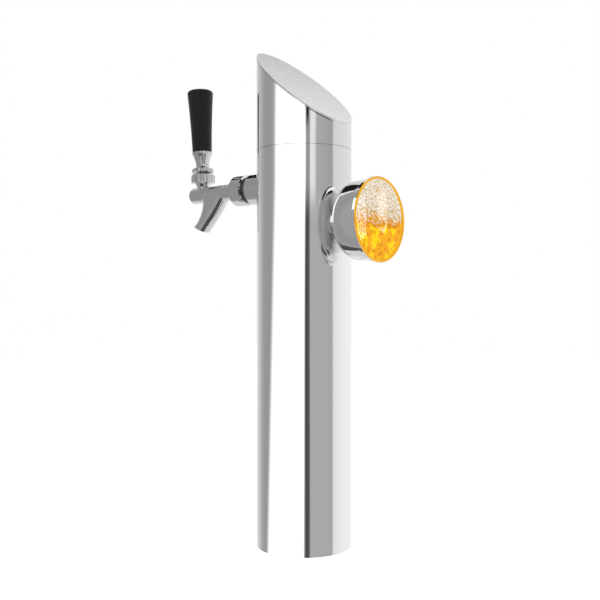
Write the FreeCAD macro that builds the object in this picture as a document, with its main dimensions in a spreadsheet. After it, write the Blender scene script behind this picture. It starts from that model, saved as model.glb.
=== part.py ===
"""A single-tap beer tower: a polished column with a slant-cut cap, a faucet and a lit badge.

Millimetres. The origin is on the column's axis at its foot and +Z is up. The faucet is
on the +Y side and the badge on the -Y side. Every piece is one body or group of its own.
"""
import FreeCAD, Part
import math
import os
import re

import Sketcher
from FreeCAD import Placement, Rotation, Vector

# Driving dimensions: each is one cell of the sheet, under the name given here.
SIZES = {
    # column
    "column_radius": 50.8,
    "column_wall": 1.5,
    "column_height": 420.9,
    # clearances, and the chamfer of a turned end
    "weld_gap": 0.05,
    "thread_gap": 0.1,
    "hole_gap": 0.4,
    "foam_gap": 0.3,
    "edge_chamfer": 1.0,
    # base ring, its tapped holes and its seal
    "base_thickness": 10.0,
    "base_bore": 26.0,
    "base_bolt_margin": 6.0,
    "base_bolt_hole": 3.4,
    "base_bolt_count": 4,
    "base_seal_margin": 2.75,
    "base_seal_width": 3.0,
    "base_seal_depth": 2.0,
    # insulation and beer line
    "foam_margin": 6.7,
    "foam_pocket_rise": 50.0,
    "foam_pocket_step": 2.0,
    "line_radius": 4.75,
    "line_wall": 1.0,
    "line_bend_radius": 14.0,
    "line_lead": 2.0,
    "line_foot": 24.0,
    # cap
    "cap_slant": 40.6,
    "cap_height": 69.2,
    "cap_seam": 0.3,
    "cap_plate_thickness": 1.5,
    "spigot_drop": 16.0,
    "spigot_rise": 11.0,
    "spigot_wall": 3.2,
    "spigot_clearance": 0.7,
    "ring_section": 1.0,
    "ring_clearance": 0.3,
    # shank through the column wall
    "faucet_margin": 3.2,
    "shank_radius": 11.1,
    "shank_bore": 4.0,
    "shank_inset": 34.8,
    "shank_head_radius": 14.2,
    "shank_head_length": 9.5,
    "valve_recess_wall": 1.2,
    "valve_recess_depth": 12.0,
    "valve_recess_taper": 6.0,
    "flange_length": 23.0,
    "flange_setback": 0.25,
    "flange_gasket_setback": 2.9,
    "flange_gasket_thickness": 6.9,
    "shank_nut_flats": 28.0,
    "shank_nut_thickness": 8.0,
    "shank_nut_inset": 16.8,
    "shank_washer_radius": 16.0,
    # tailpiece on the inner end of the shank
    "tail_gasket_thickness": 2.0,
    "tail_flange_radius": 9.0,
    "tail_flange_thickness": 2.0,
    "tail_tube_radius": 6.2,
    "tail_tube_length": 10.0,
    "tail_socket_depth": 6.0,
    "tail_nut_flats": 28.0,
    "tail_nut_lip": 4.0,
    "tail_nut_grip": 8.0,
    # coupling nut
    "coupling_wall": 3.0,
    "coupling_length": 19.3,
    "coupling_chamfer": 2.2,
    "coupling_back_chamfer": 1.4,
    "coupling_lip": 4.5,
    "spanner_hole_radius": 1.6,
    "spanner_hole_depth": 2.2,
    "spanner_hole_setback": 3.4,
    "spanner_hole_turn": 42.0,
    "spanner_hole_count": 4,
    # faucet body
    "barrel_radius": 9.4,
    "nose_lead": 18.2,
    "nose_chamfer": 4.6,
    "nose_curve": 6.5,
    "collar_setback": 0.4,
    "faucet_gasket_thickness": 2.0,
    "faucet_gasket_setback": 0.6,
    "seat_setback": 8.0,
    "guide_wall": 3.8,
    "guide_lead": 12.5,
    "neck_lead": 56.3,
    "neck_wall": 3.2,
    "neck_foot_radius": 7.1,
    "neck_root": 2.0,
    "neck_flare_foot": 7.4,
    "neck_flare_top": 1.3,
    "neck_flare_curve": 11.8,
    "pivot_rise": 15.4,
    "neck_top": 2.9,
    "window_front_lap": 1.4,
    "window_back_lap": 1.0,
    "spout_root_lead": 35.0,
    "spout_root_drop": 2.0,
    "spout_root_depth": 23.0,
    "spout_root_inset": 0.4,
    "spout_shoulder_lead": 39.2,
    "spout_shoulder_drop": 14.0,
    "spout_shoulder_angle": 28.0,
    "spout_shoulder_depth": 14.8,
    "spout_shoulder_width": 9.2,
    "spout_bend_lead": 46.4,
    "spout_bend_drop": 27.0,
    "spout_bend_depth": 11.05,
    "spout_bend_width": 9.1,
    "spout_end_lead": 58.1,
    "spout_end_drop": 40.2,
    "spout_end_depth": 10.4,
    "spout_end_width": 8.8,
    "spout_face_angle": 25.0,
    "spout_angle": 37.0,
    "spout_mouth_overrun": 2.0,
    "spout_bore": 5.5,
    "spout_bore_depth": 30.0,
    "spout_throat": 4.7,
    "spout_blend": 3.0,
    # lever, its ball joint and the shaft that it moves
    "lever_rest_tilt": 2.8,
    "lever_travel": 33.0,
    "ball_radius": 7.0,
    "ball_gap": 0.1,
    "ball_washer_width": 0.8,
    "ball_washer_foot": 0.5,
    "ball_washer_top": 2.8,
    "stem_radius": 3.2,
    "stem_thread_radius": 4.7,
    "stem_grip": 14.1,
    "finger_root_radius": 2.6,
    "finger_radius": 1.7,
    "finger_tip_radius": 2.2,
    "swing_gap": 0.4,
    "shaft_rod_radius": 3.2,
    "shaft_thread_radius": 2.4,
    "shaft_head_setback": 10.0,
    "shaft_head_lead": 8.0,
    "shaft_head_cone": 2.0,
    "seat_washer_gap": 1.2,
    "seat_washer_thickness": 3.0,
    "shaft_nut_flats": 8.0,
    "shaft_nut_thickness": 3.0,
    # bonnet and lever collar, both fluted for the fingers
    "bonnet_wall": 3.75,
    "bonnet_foot": -1.2,
    "bonnet_ceiling_gap": 0.2,
    "bonnet_crown": 1.45,
    "bonnet_chamfer": 0.8,
    "bonnet_dome_gap": 0.3,
    "flute_count": 12,
    "flute_radius": 3.0,
    "flute_depth": 1.0,
    "collar_inset": 1.3,
    "collar_cup_gap": 0.9,
    "collar_cup_edge": 5.6,
    "collar_cup_cone": 1.5,
    "collar_thickness": 2.5,
    "collar_bevel": 0.8,
    "collar_land": 0.4,
    # handle
    "ferrule_foot_radius": 9.4,
    "ferrule_waist_radius": 7.7,
    "ferrule_foot_height": 2.0,
    "ferrule_foot_curve": 5.4,
    "ferrule_waist_height": 2.0,
    "ferrule_flare_height": 10.9,
    "ferrule_flare_curve": 43.2,
    "ferrule_shoulder_height": 1.3,
    "ferrule_shoulder_width": 1.0,
    "ferrule_band_height": 2.4,
    "ferrule_band_lip": 0.45,
    "handle_length": 75.0,
    "handle_foot_radius": 11.45,
    "handle_top_radius": 15.2,
    "handle_crown_radius": 9.9,
    "handle_crown_rise": 1.5,
    "handle_edge": 3.2,
    "handle_bulge": 1200.0,
    "insert_radius": 7.0,
    "insert_length": 16.0,
    "insert_room": 2.0,
    # badge
    "badge_drop": 78.6,
    "badge_neck_radius": 10.0,
    "badge_neck_bore": 6.0,
    "badge_neck_head": 14.0,
    "badge_neck_head_thickness": 3.0,
    "badge_nut_flats": 28.0,
    "badge_nut_thickness": 6.0,
    "badge_nut_inset": 12.8,
    "badge_neck_overrun": 2.0,
    "badge_washer_radius": 15.0,
    "badge_spacer_radius": 16.0,
    "drum_standoff": 13.1,
    "drum_wall": 1.8,
    "drum_edge": 12.0,
    "drum_depth": 31.2,
    "drum_front_radius": 40.6,
    "drum_flare": 0.2,
    "drum_bulge": 90.0,
    "drum_seat_run": 1.0,
    "bezel_overhang": 2.85,
    "bezel_depth": 4.0,
    "bezel_floor_rise": 1.9,
    "bezel_edge": 0.2,
    "bezel_rim_rise": 1.0,
    "bezel_rim_curve": 3.2,
    "bezel_lip": 0.5,
    "bezel_spigot_wall": 1.2,
    "bezel_spigot_depth": 3.5,
    "print_thickness": 0.8,
    "light_ring_width": 2.4,
    "light_ring_rise": 0.4,
    "bead_roundness": 0.55,
    "lens_rim_thickness": 1.4,
    "lens_dome": 0.6,
    "spacer_wall": 1.2,
    "spacer_gap": 0.6,
    "board_gap": 1.0,
    "board_thickness": 1.6,
    "board_rise": 9.2,
    "standoff_radius": 3.0,
    "standoff_inset": 0.8,
    "standoff_count": 3,
    "board_screw_radius": 1.4,
    "board_screw_head": 2.6,
    "board_screw_head_height": 1.8,
    "board_screw_depth": 6.0,
    "led_size": 3.5,
    "led_height": 1.2,
    "led_inset": 8.0,
    "led_count": 8,
}

# Places and radii that follow from the sizes. The names are used like the sizes above.
FORMULAS = {
    # column, foam and cap
    "column_bore": "column_radius - column_wall",
    "welded_radius": "column_bore - weld_gap",
    "base_seal_inner": "welded_radius - base_seal_margin - base_seal_width",
    "base_bolt_circle": "2 * (base_seal_inner - base_bolt_margin)",
    "foam_top": "badge_height - badge_nut_flats / sqrt(3) - foam_margin",
    "cap_foot": "column_height + cap_seam",
    "cap_middle": "cap_foot + cap_height",
    "cap_rise": "tan(cap_slant) * column_radius",
    "plate_depth": "cap_plate_thickness / cos(cap_slant)",
    # shank, from the column's axis outwards
    "faucet_height": "cap_foot - spigot_drop - shank_washer_radius - faucet_margin",
    "shank_start": "column_radius - shank_inset",
    "shank_hole": "shank_radius + hole_gap",
    "flange_face": "column_radius + flange_length",
    "shank_front": "flange_face + flange_gasket_thickness",
    "shank_end": "shank_front + shank_head_length",
    "shank_nut_reach": "column_radius - shank_nut_inset",
    "shank_nut_front": "shank_nut_reach + shank_nut_thickness",
    "tail_face": "shank_start - tail_gasket_thickness",
    "tail_flange_back": "tail_face - tail_flange_thickness",
    "tail_back": "tail_flange_back - tail_tube_length",
    "line_reach": "tail_back - line_lead - line_bend_radius",
    # coupling nut and faucet
    "coupling_bore": "shank_head_radius + thread_gap",
    "coupling_radius": "shank_head_radius + coupling_wall",
    "coupling_front": "shank_front + coupling_length",
    "coupling_floor": "coupling_front - coupling_lip",
    "flange_radius": "coupling_radius - flange_setback",
    "flange_gasket_radius": "coupling_radius - flange_gasket_setback",
    "faucet_back": "shank_end + faucet_gasket_thickness",
    "seat_face": "faucet_back + seat_setback",
    "valve_recess_radius": "barrel_radius - valve_recess_wall",
    "guide_bore": "barrel_radius - guide_wall",
    "neck_reach": "coupling_front + neck_lead",
    "neck_radius": "ball_radius + neck_wall",
    "guide_end": "neck_reach + guide_lead",
    "barrel_nose": "neck_reach + nose_lead",
    "spout_root_reach": "coupling_front + spout_root_lead",
    "spout_root_width": "barrel_radius - spout_root_inset",
    "spout_shoulder_reach": "coupling_front + spout_shoulder_lead",
    "spout_bend_reach": "coupling_front + spout_bend_lead",
    "spout_end_reach": "coupling_front + spout_end_lead",
    # lever, shaft and bonnet
    "pivot_height": "faucet_height + pivot_rise",
    "cup_radius": "ball_radius + ball_gap",
    "ball_washer_radius": "ball_radius + ball_washer_width",
    "full_tilt": "lever_rest_tilt + lever_travel",
    "tip_rest": "pivot_rise * sin(lever_rest_tilt)",
    "shaft_head_radius": "guide_bore - thread_gap",
    "shaft_head_start": "neck_reach - shaft_head_setback",
    "shaft_head_end": "neck_reach + shaft_head_lead",
    "washer_face": "seat_face - seat_washer_thickness",
    "shaft_start": "washer_face - shaft_nut_thickness",
    "bonnet_bore": "neck_radius + thread_gap",
    "bonnet_radius": "neck_radius + bonnet_wall",
    "bonnet_ceiling": "neck_top + bonnet_ceiling_gap",
    "bonnet_dome": "ball_radius + bonnet_dome_gap",
    "bonnet_top": "bonnet_dome + bonnet_crown",
    "slot_half": "stem_radius + swing_gap",
    "slot_far": "bonnet_top * tan(full_tilt) + stem_radius / cos(full_tilt) + swing_gap",
    # collar and handle, up the lever's own axis
    "bonnet_edge": "bonnet_top - bonnet_chamfer",
    "collar_cup_radius": "sqrt(bonnet_radius ^ 2 + bonnet_edge ^ 2) + collar_cup_gap",
    "collar_cup_top": "sqrt(collar_cup_radius ^ 2 - collar_cup_edge ^ 2)",
    "lever_collar_radius": "bonnet_radius - collar_inset",
    "collar_rim": "sqrt(collar_cup_radius ^ 2 - lever_collar_radius ^ 2)",
    "stem_shoulder": "collar_cup_top - collar_cup_cone",
    "collar_top": "stem_shoulder + collar_thickness",
    "ferrule_waist_low": "collar_top + ferrule_foot_height",
    "ferrule_waist_high": "ferrule_waist_low + ferrule_waist_height",
    "ferrule_flare": "ferrule_waist_high + ferrule_flare_height",
    "ferrule_band": "ferrule_flare + ferrule_shoulder_height",
    "ferrule_band_radius": "handle_foot_radius + ferrule_band_lip",
    "handle_foot": "ferrule_band + ferrule_band_height",
    "handle_top": "handle_foot + handle_length",
    "handle_crown": "handle_top - handle_crown_rise",
    "stem_end": "handle_foot + stem_grip",
    # badge, from the column's axis outwards
    "badge_height": "column_height - badge_drop",
    "badge_nut_reach": "column_radius - badge_nut_inset",
    "badge_nut_front": "badge_nut_reach + badge_nut_thickness",
    "badge_neck_start": "badge_nut_reach - badge_neck_overrun",
    "drum_back": "column_radius + drum_standoff",
    "drum_floor": "drum_back + drum_wall",
    "drum_front": "drum_back + drum_depth",
    "drum_back_radius": "drum_front_radius + drum_flare",
    "bezel_radius": "drum_front_radius + bezel_overhang",
    "bezel_back": "drum_front + weld_gap",
    "bezel_floor": "drum_front + bezel_floor_rise",
    "bezel_face": "drum_front + bezel_depth",
    "bezel_spigot": "drum_front_radius - drum_wall - weld_gap",
    "bezel_bore": "bezel_spigot - bezel_spigot_wall",
    "face_radius": "bezel_radius - bezel_lip - weld_gap",
    "print_face": "bezel_floor + print_thickness",
    "lens_radius": "face_radius - light_ring_width - weld_gap",
    "lens_face": "print_face + lens_rim_thickness",
    "bead_foot": "bezel_face + light_ring_rise",
    "bead_curve": "bead_roundness * light_ring_width",
    "board_radius": "drum_back_radius - drum_wall - spacer_wall - board_gap",
    "board_reach": "drum_floor + board_rise",
    "board_front": "board_reach + board_thickness",
    "standoff_circle": "drum_back_radius - drum_edge - standoff_radius - standoff_inset",
    "led_circle": "standoff_circle - led_inset",
}

doc = FreeCAD.newDocument("BeerTower")
sheet = doc.addObject("Spreadsheet::Sheet", "Sizes")
for row, (name, size) in enumerate(SIZES.items(), 1):
    sheet.set(f"A{row}", name)
    sheet.set(f"B{row}", str(size))
    sheet.setAlias(f"B{row}", name)
doc.recompute()

# Turns a piece's own Z axis to the faucet's side (+Y) or to the badge's side (-Y).
TO_FAUCET = Rotation(Vector(1, 0, 0), -90)
TO_BADGE = Rotation(Vector(1, 0, 0), 90)
PIECES = []
# A half-round arc is drawn with a radius this much over half its chord, so that it has a centre.
ARC_SLACK = 1.0001


def bound(text):
    """The expression with each size named as its cell and each formula written out."""
    def written_out(match):
        name = match[0]
        if name in FORMULAS:
            return f"({bound(FORMULAS[name])})"
        return f"Sizes.{name}" if name in SIZES else name
    return re.sub(r"[a-z][a-z_]+", written_out, str(text))


def value(text):
    return float(sheet.evalExpression(bound(text)))


def piece(name, at=(0, 0, 0), turn=Rotation()):
    """A body whose Label names the finished piece, placed at three expressions."""
    body = doc.addObject("PartDesign::Body", name)
    body.Label = name
    body.Placement = Placement(Vector(*map(value, at)), turn)
    for axis, text in zip("xyz", at):
        body.setExpression(f"Placement.Base.{axis}", bound(text))
    PIECES.append(body)
    return body


def sketch_on(body, plane, shift=(0, 0, 0), tilt=None):
    """An empty sketch on an origin plane, moved in that plane's own axes and tilted about its X."""
    sketch = body.newObject("Sketcher::SketchObject", f"{body.Name}_sketch")
    support = [f for f in body.Origin.OriginFeatures if f.Role == f"{plane}_Plane"]
    sketch.AttachmentSupport = [(support[0], "")]
    sketch.MapMode = "FlatFace"
    turn = Rotation(Vector(1, 0, 0), value(tilt)) if tilt else Rotation()
    sketch.AttachmentOffset = Placement(Vector(*map(value, shift)), turn)
    for axis, text in zip("xyz", shift):
        if text != 0:
            sketch.setExpression(f"AttachmentOffset.Base.{axis}", bound(text))
    if tilt:
        sketch.setExpression("AttachmentOffset.Rotation.Angle", bound(tilt))
    return sketch


def pin_point(sketch, geometry, end, x, y):
    """Holds one end of a sketch line at two expressions."""
    for kind, text in (("DistanceX", x), ("DistanceY", y)):
        row = sketch.addConstraint(Sketcher.Constraint(kind, -1, 1, geometry, end, value(text)))
        sketch.setExpression(f"Constraints[{row}]", bound(text))


def hold_radius(sketch, geometry, text):
    row = sketch.addConstraint(Sketcher.Constraint("Radius", geometry, value(text)))
    sketch.setExpression(f"Constraints[{row}]", bound(text))


def arc_between(start, end, radius, side):
    """The shorter arc from start to end that turns to the given side."""
    chord = end - start
    depth = math.sqrt(radius ** 2 - (chord.Length / 2) ** 2)
    left = Vector(-chord.y, chord.x, 0).normalize()
    centre = (start + end) * 0.5 + left * (depth if side == "left" else -depth)
    first, last = (start, end) if side == "left" else (end, start)
    angles = [math.atan2(p.y - centre.y, p.x - centre.x) for p in (first, last)]
    return Part.ArcOfCircle(Part.Circle(centre, Vector(0, 0, 1), radius), *angles)


def outline(sketch, points):
    """A closed outline. A point is (x, y), or (x, y, side, radius) where an arc follows it."""
    corners = [Vector(value(p[0]), value(p[1]), 0) for p in points]
    ends = []
    for i, point in enumerate(points):
        start, end = corners[i], corners[(i + 1) % len(corners)]
        if len(point) == 4:
            curve = arc_between(start, end, value(point[3]), point[2])
            ends.append((1, 2) if point[2] == "left" else (2, 1))
        else:
            curve = Part.LineSegment(start, end)
            ends.append((1, 2))
        sketch.addGeometry(curve, False)
    for i, point in enumerate(points):
        last = (i - 1) % len(points)
        sketch.addConstraint(Sketcher.Constraint("Coincident", last, ends[last][1], i, ends[i][0]))
        pin_point(sketch, i, ends[i][0], point[0], point[1])
        if len(point) == 4:
            hold_radius(sketch, i, point[3])
    return sketch


def circles(sketch, *discs):
    """Circles in a sketch, each (x, y, radius)."""
    for x, y, radius in discs:
        centre = Vector(value(x), value(y), 0)
        row = sketch.addGeometry(Part.Circle(centre, Vector(0, 0, 1), value(radius)), False)
        pin_point(sketch, row, 3, x, y)
        hold_radius(sketch, row, radius)
    return sketch


def hexagon(sketch, flats, bore):
    """A regular hexagon round the sketch's origin, with a round hole."""
    corners = [(f"{flats} / sqrt(3) * cos({60 * i})", f"{flats} / sqrt(3) * sin({60 * i})")
               for i in range(6)]
    return circles(outline(sketch, corners), (0, 0, bore))


def revolve(body, sketch, kind="Revolution", axis="V_Axis"):
    feature = body.newObject(f"PartDesign::{kind}", f"{body.Name}_{kind}")
    feature.Profile = sketch
    feature.ReferenceAxis = (sketch, [axis])
    feature.Angle = 360
    sketch.Visibility = False
    return feature


def pad(body, sketch, length, both=False):
    feature = body.newObject("PartDesign::Pad", f"{body.Name}_Pad")
    feature.Profile = sketch
    feature.Length = value(length)
    feature.setExpression("Length", bound(length))
    feature.Midplane = both
    return feature


def pocket(body, sketch, length, both=False, backwards=False):
    """Cuts the sketch's shape out of the body, and stops if nothing is cut."""
    doc.recompute()
    before = body.Shape.Volume
    feature = body.newObject("PartDesign::Pocket", f"{body.Name}_Pocket")
    feature.Profile = sketch
    feature.Length = value(length)
    feature.setExpression("Length", bound(length))
    feature.Midplane = both
    feature.Reversed = backwards
    doc.recompute()
    if body.Shape.Volume >= before:
        raise ValueError(f"{feature.Name} cuts nothing")
    return feature


def groove(body, sketch, axis="V_Axis"):
    """Turns the sketch's shape out of the body, and stops if nothing is cut."""
    doc.recompute()
    before = body.Shape.Volume
    feature = revolve(body, sketch, "Groove", axis)
    doc.recompute()
    if body.Shape.Volume >= before:
        raise ValueError(f"{feature.Name} cuts nothing")
    return feature


def ring_of(body, feature, count):
    """Repeats a feature round the body's Z axis."""
    pattern = body.newObject("PartDesign::PolarPattern", f"{body.Name}_Pattern")
    pattern.Originals = [feature]
    z_axis = [f for f in body.Origin.OriginFeatures if f.Role == "Z_Axis"]
    pattern.Axis = (z_axis[0], [""])
    pattern.Angle = 360
    pattern.Occurrences = int(value(count))
    pattern.setExpression("Occurrences", bound(count))
    body.Tip = pattern
    return pattern


def turned(name, points, at=(0, 0, 0), turn=Rotation()):
    """A turned piece: the outline's points are (radius, distance along the piece's Z)."""
    body = piece(name, at, turn)
    revolve(body, outline(sketch_on(body, "XZ"), points))
    return body


def washer(name, inner, outer, low, high, at=(0, 0, 0), turn=Rotation()):
    return turned(name, [(inner, low), (outer, low), (outer, high), (inner, high)], at, turn)


def nut(name, flats, bore, low, thickness, at=(0, 0, 0), turn=Rotation()):
    body = piece(name, at, turn)
    pad(body, hexagon(sketch_on(body, "XY", (0, 0, low)), flats, bore), thickness)
    return body


def saddle_outside(body):
    """Fits the piece's near end to the outside of the column."""
    cutter = circles(sketch_on(body, "XZ"), (0, 0, "column_radius + weld_gap"))
    pocket(body, cutter, "4 * column_radius", both=True)


def saddle_inside(body):
    """Fits the piece's far end to the bore of the column."""
    cutter = circles(sketch_on(body, "XZ"), (0, 0, "welded_radius"), (0, 0, "2 * column_radius"))
    pocket(body, cutter, "4 * column_radius", both=True)


def flutes(body, radius, low, high):
    """Finger flutes all round a knob of the given radius."""
    edge = f"{radius} - flute_depth + flute_radius"
    scallop = circles(sketch_on(body, "XY", (0, 0, high)), (edge, 0, "flute_radius"))
    cut = pocket(body, scallop, f"{high} - ({low})")
    ring_of(body, cut, "flute_count")


# ---- column and base ----

# column_tube: the polished tube, with a hole for the shank and one for the badge's neck
tube = piece("column_tube")
pad(tube, circles(sketch_on(tube, "XY"), (0, 0, "column_radius"), (0, 0, "column_bore")),
    "column_height")
shank_hole = circles(sketch_on(tube, "XZ"), (0, "faucet_height", "shank_hole"))
pocket(tube, shank_hole, "column_radius + hole_gap")
neck_hole = circles(sketch_on(tube, "XZ"), (0, "badge_height", "badge_neck_radius + hole_gap"))
pocket(tube, neck_hole, "column_radius + hole_gap", backwards=True)

# base_ring: the thick ring welded into the foot, tapped for the studs and grooved for the seal
base = turned("base_ring", [
    ("base_bore", 0), ("base_seal_inner - weld_gap", 0),
    ("base_seal_inner - weld_gap", "base_seal_depth + weld_gap"),
    ("base_seal_inner + base_seal_width + weld_gap", "base_seal_depth + weld_gap"),
    ("base_seal_inner + base_seal_width + weld_gap", 0),
    ("welded_radius", 0), ("welded_radius", "base_thickness"),
    ("base_bore", "base_thickness"),
])
tapped = circles(sketch_on(base, "XY", (0, 0, "base_thickness")),
                 ("base_bolt_circle / 2 * cos(45)", "base_bolt_circle / 2 * sin(45)", "base_bolt_hole"))
ring_of(base, pocket(base, tapped, "base_thickness"), "base_bolt_count")

# base_seal: the square-section ring that seals the tower to the bar top
washer("base_seal", "base_seal_inner", "base_seal_inner + base_seal_width", 0, "base_seal_depth")

# foam_core: the insulation, hollow above the base for the hose joint and bored for the line
foam = turned("foam_core", [
    ("base_bore + foam_pocket_step", "base_thickness"), ("column_bore - foam_gap", "base_thickness"),
    ("column_bore - foam_gap", "foam_top"), (0, "foam_top"),
    (0, "base_thickness + foam_pocket_rise"),
    ("base_bore + foam_pocket_step", "base_thickness + foam_pocket_rise"),
])
channel = circles(sketch_on(foam, "XY", (0, 0, "foam_top")),
                  (0, "line_reach", "line_radius + foam_gap"))
pocket(foam, channel, "foam_top - base_thickness")

# beer_line: the steel tube that rises through the foam and bends into the tailpiece
line = piece("beer_line")
route = sketch_on(line, "YZ")
bend = Part.ArcOfCircle(
    Part.Circle(Vector(value("line_reach + line_bend_radius"),
                       value("faucet_height - line_bend_radius"), 0),
                Vector(0, 0, 1), value("line_bend_radius")), math.pi / 2, math.pi)
foot = Vector(value("line_reach"), value("line_foot"), 0)
shoulder = Vector(value("line_reach"), value("faucet_height - line_bend_radius"), 0)
top = Vector(value("line_reach + line_bend_radius"), value("faucet_height"), 0)
mouth = Vector(value("line_reach + line_bend_radius + line_lead + tail_socket_depth"), top.y, 0)
route.addGeometry([Part.LineSegment(foot, shoulder), bend, Part.LineSegment(top, mouth)], False)
route.addConstraint([Sketcher.Constraint("Coincident", 0, 2, 1, 2),
                     Sketcher.Constraint("Coincident", 1, 1, 2, 1)])
pin_point(route, 0, 1, "line_reach", "line_foot")
pin_point(route, 0, 2, "line_reach", "faucet_height - line_bend_radius")
pin_point(route, 2, 1, "line_reach + line_bend_radius", "faucet_height")
pin_point(route, 2, 2, "line_reach + line_bend_radius + line_lead + tail_socket_depth",
          "faucet_height")
hold_radius(route, 1, "line_bend_radius")
section = circles(sketch_on(line, "XY", (0, 0, "line_foot")), (0, "line_reach", "line_radius"),
                  (0, "line_reach", "line_radius - line_wall"))
sweep = line.newObject("PartDesign::AdditivePipe", "beer_line_Pipe")
sweep.Profile = section
sweep.Spine = route

# ---- cap ----

# cap_sleeve: the top of the tube, cut on the slant
sleeve = piece("cap_sleeve", (0, 0, "cap_foot"))
pad(sleeve, circles(sketch_on(sleeve, "XY"), (0, 0, "column_radius"), (0, 0, "column_bore")),
    "cap_middle + cap_rise - cap_foot")
low_edge = "cap_middle - plate_depth - weld_gap - cap_foot"
above = outline(sketch_on(sleeve, "YZ"), [
    ("-2 * column_radius", f"{low_edge} - 2 * cap_rise"),
    ("2 * column_radius", f"{low_edge} + 2 * cap_rise"),
    ("2 * column_radius", f"{low_edge} + 4 * cap_rise"),
    ("-2 * column_radius", f"{low_edge} + 4 * cap_rise"),
])
pocket(sleeve, above, "4 * column_radius", both=True)

# cap_plate: the flat oval plate that closes the slant, flush with the sleeve
plate = piece("cap_plate", (0, 0, "cap_middle"))
pad(plate, outline(sketch_on(plate, "YZ"), [
    ("-1.1 * column_radius", "-1.1 * cap_rise - plate_depth"),
    ("1.1 * column_radius", "1.1 * cap_rise - plate_depth"),
    ("1.1 * column_radius", "1.1 * cap_rise"),
    ("-1.1 * column_radius", "-1.1 * cap_rise"),
]), "2.2 * column_radius", both=True)
rim = circles(sketch_on(plate, "XY"), (0, 0, "column_radius"), (0, 0, "2 * column_radius"))
pocket(plate, rim, "4 * cap_rise + 4 * plate_depth", both=True)

# cap_spigot: the turned ring inside the sleeve that drops into the column
spigot_outer = "column_bore - spigot_clearance"
spigot_inner = "column_bore - spigot_clearance - spigot_wall"
ring_centre = "column_bore - ring_clearance - ring_section"
ring_level = "-spigot_drop / 2"
turned("cap_spigot", [
    (spigot_inner, "-spigot_drop"), (f"{spigot_outer} - edge_chamfer", "-spigot_drop"),
    (spigot_outer, "edge_chamfer - spigot_drop"),
    (spigot_outer, f"{ring_level} - ring_section - weld_gap"),
    (f"{ring_centre} - ring_section - weld_gap", f"{ring_level} - ring_section - weld_gap"),
    (f"{ring_centre} - ring_section - weld_gap", f"{ring_level} + ring_section + weld_gap"),
    (spigot_outer, f"{ring_level} + ring_section + weld_gap"),
    (spigot_outer, 0), ("welded_radius", 0),
    ("welded_radius", "spigot_rise"), (spigot_inner, "spigot_rise"),
], (0, 0, "cap_foot"))

# cap_o_ring: the rubber ring in the spigot's groove
o_ring = piece("cap_o_ring", (0, 0, f"cap_foot + {ring_level}"))
revolve(o_ring, circles(sketch_on(o_ring, "XZ"), (ring_centre, 0, "ring_section")))

# ---- shank: the threaded pipe that carries the faucet ----

AXIS = (0, 0, "faucet_height")

# shank: bored through, with a wide head for the coupling nut and room for the valve
turned("shank", [
    ("shank_bore", "shank_start"), ("shank_radius", "shank_start"),
    ("shank_radius", "shank_front"), ("shank_head_radius", "shank_front"),
    ("shank_head_radius", "shank_end"), ("valve_recess_radius", "shank_end"),
    ("valve_recess_radius", "shank_end - valve_recess_depth"),
    ("shank_bore", "shank_end - valve_recess_depth - valve_recess_taper"),
], AXIS, TO_FAUCET)

# shank_flange: the wide sleeve outside, its back shaped to the column
flange = washer("shank_flange", "shank_radius + thread_gap", "flange_radius",
                "column_radius / 2", "flange_face", AXIS, TO_FAUCET)
saddle_outside(flange)

# flange_gasket: the black ring between the sleeve and the coupling nut
washer("flange_gasket", "shank_radius + thread_gap", "flange_gasket_radius",
       "flange_face", "shank_front", AXIS, TO_FAUCET)

# shank_washer: the shaped washer inside the column
inner_washer = washer("shank_washer", "shank_radius + thread_gap", "shank_washer_radius",
                      "shank_nut_front", "column_radius", AXIS, TO_FAUCET)
saddle_inside(inner_washer)

# shank_nut: the hexagon nut that clamps the shank in the wall
nut("shank_nut", "shank_nut_flats", "shank_radius + thread_gap", "shank_nut_reach",
    "shank_nut_thickness", AXIS, TO_FAUCET)

# tail_gasket, tailpiece and tail_nut: the joint between the shank and the beer line
washer("tail_gasket", "shank_bore", "shank_radius - thread_gap", "tail_face", "shank_start",
       AXIS, TO_FAUCET)
turned("tailpiece", [
    ("line_radius - line_wall", "tail_face"), ("tail_flange_radius", "tail_face"),
    ("tail_flange_radius", "tail_flange_back"), ("tail_tube_radius", "tail_flange_back"),
    ("tail_tube_radius", "tail_back"), ("line_radius + weld_gap", "tail_back"),
    ("line_radius + weld_gap", "tail_back + tail_socket_depth"),
    ("line_radius - line_wall", "tail_back + tail_socket_depth"),
], AXIS, TO_FAUCET)
tail_nut = nut("tail_nut", "tail_nut_flats", "tail_tube_radius + thread_gap",
               "tail_flange_back - tail_nut_lip",
               "tail_nut_lip + shank_start + tail_nut_grip - tail_flange_back", AXIS, TO_FAUCET)
tail_bore = circles(sketch_on(tail_nut, "XY", (0, 0, "shank_start + tail_nut_grip")),
                    (0, 0, "shank_radius + thread_gap"))
pocket(tail_nut, tail_bore, "shank_start + tail_nut_grip - tail_flange_back")

# ---- faucet ----

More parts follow.
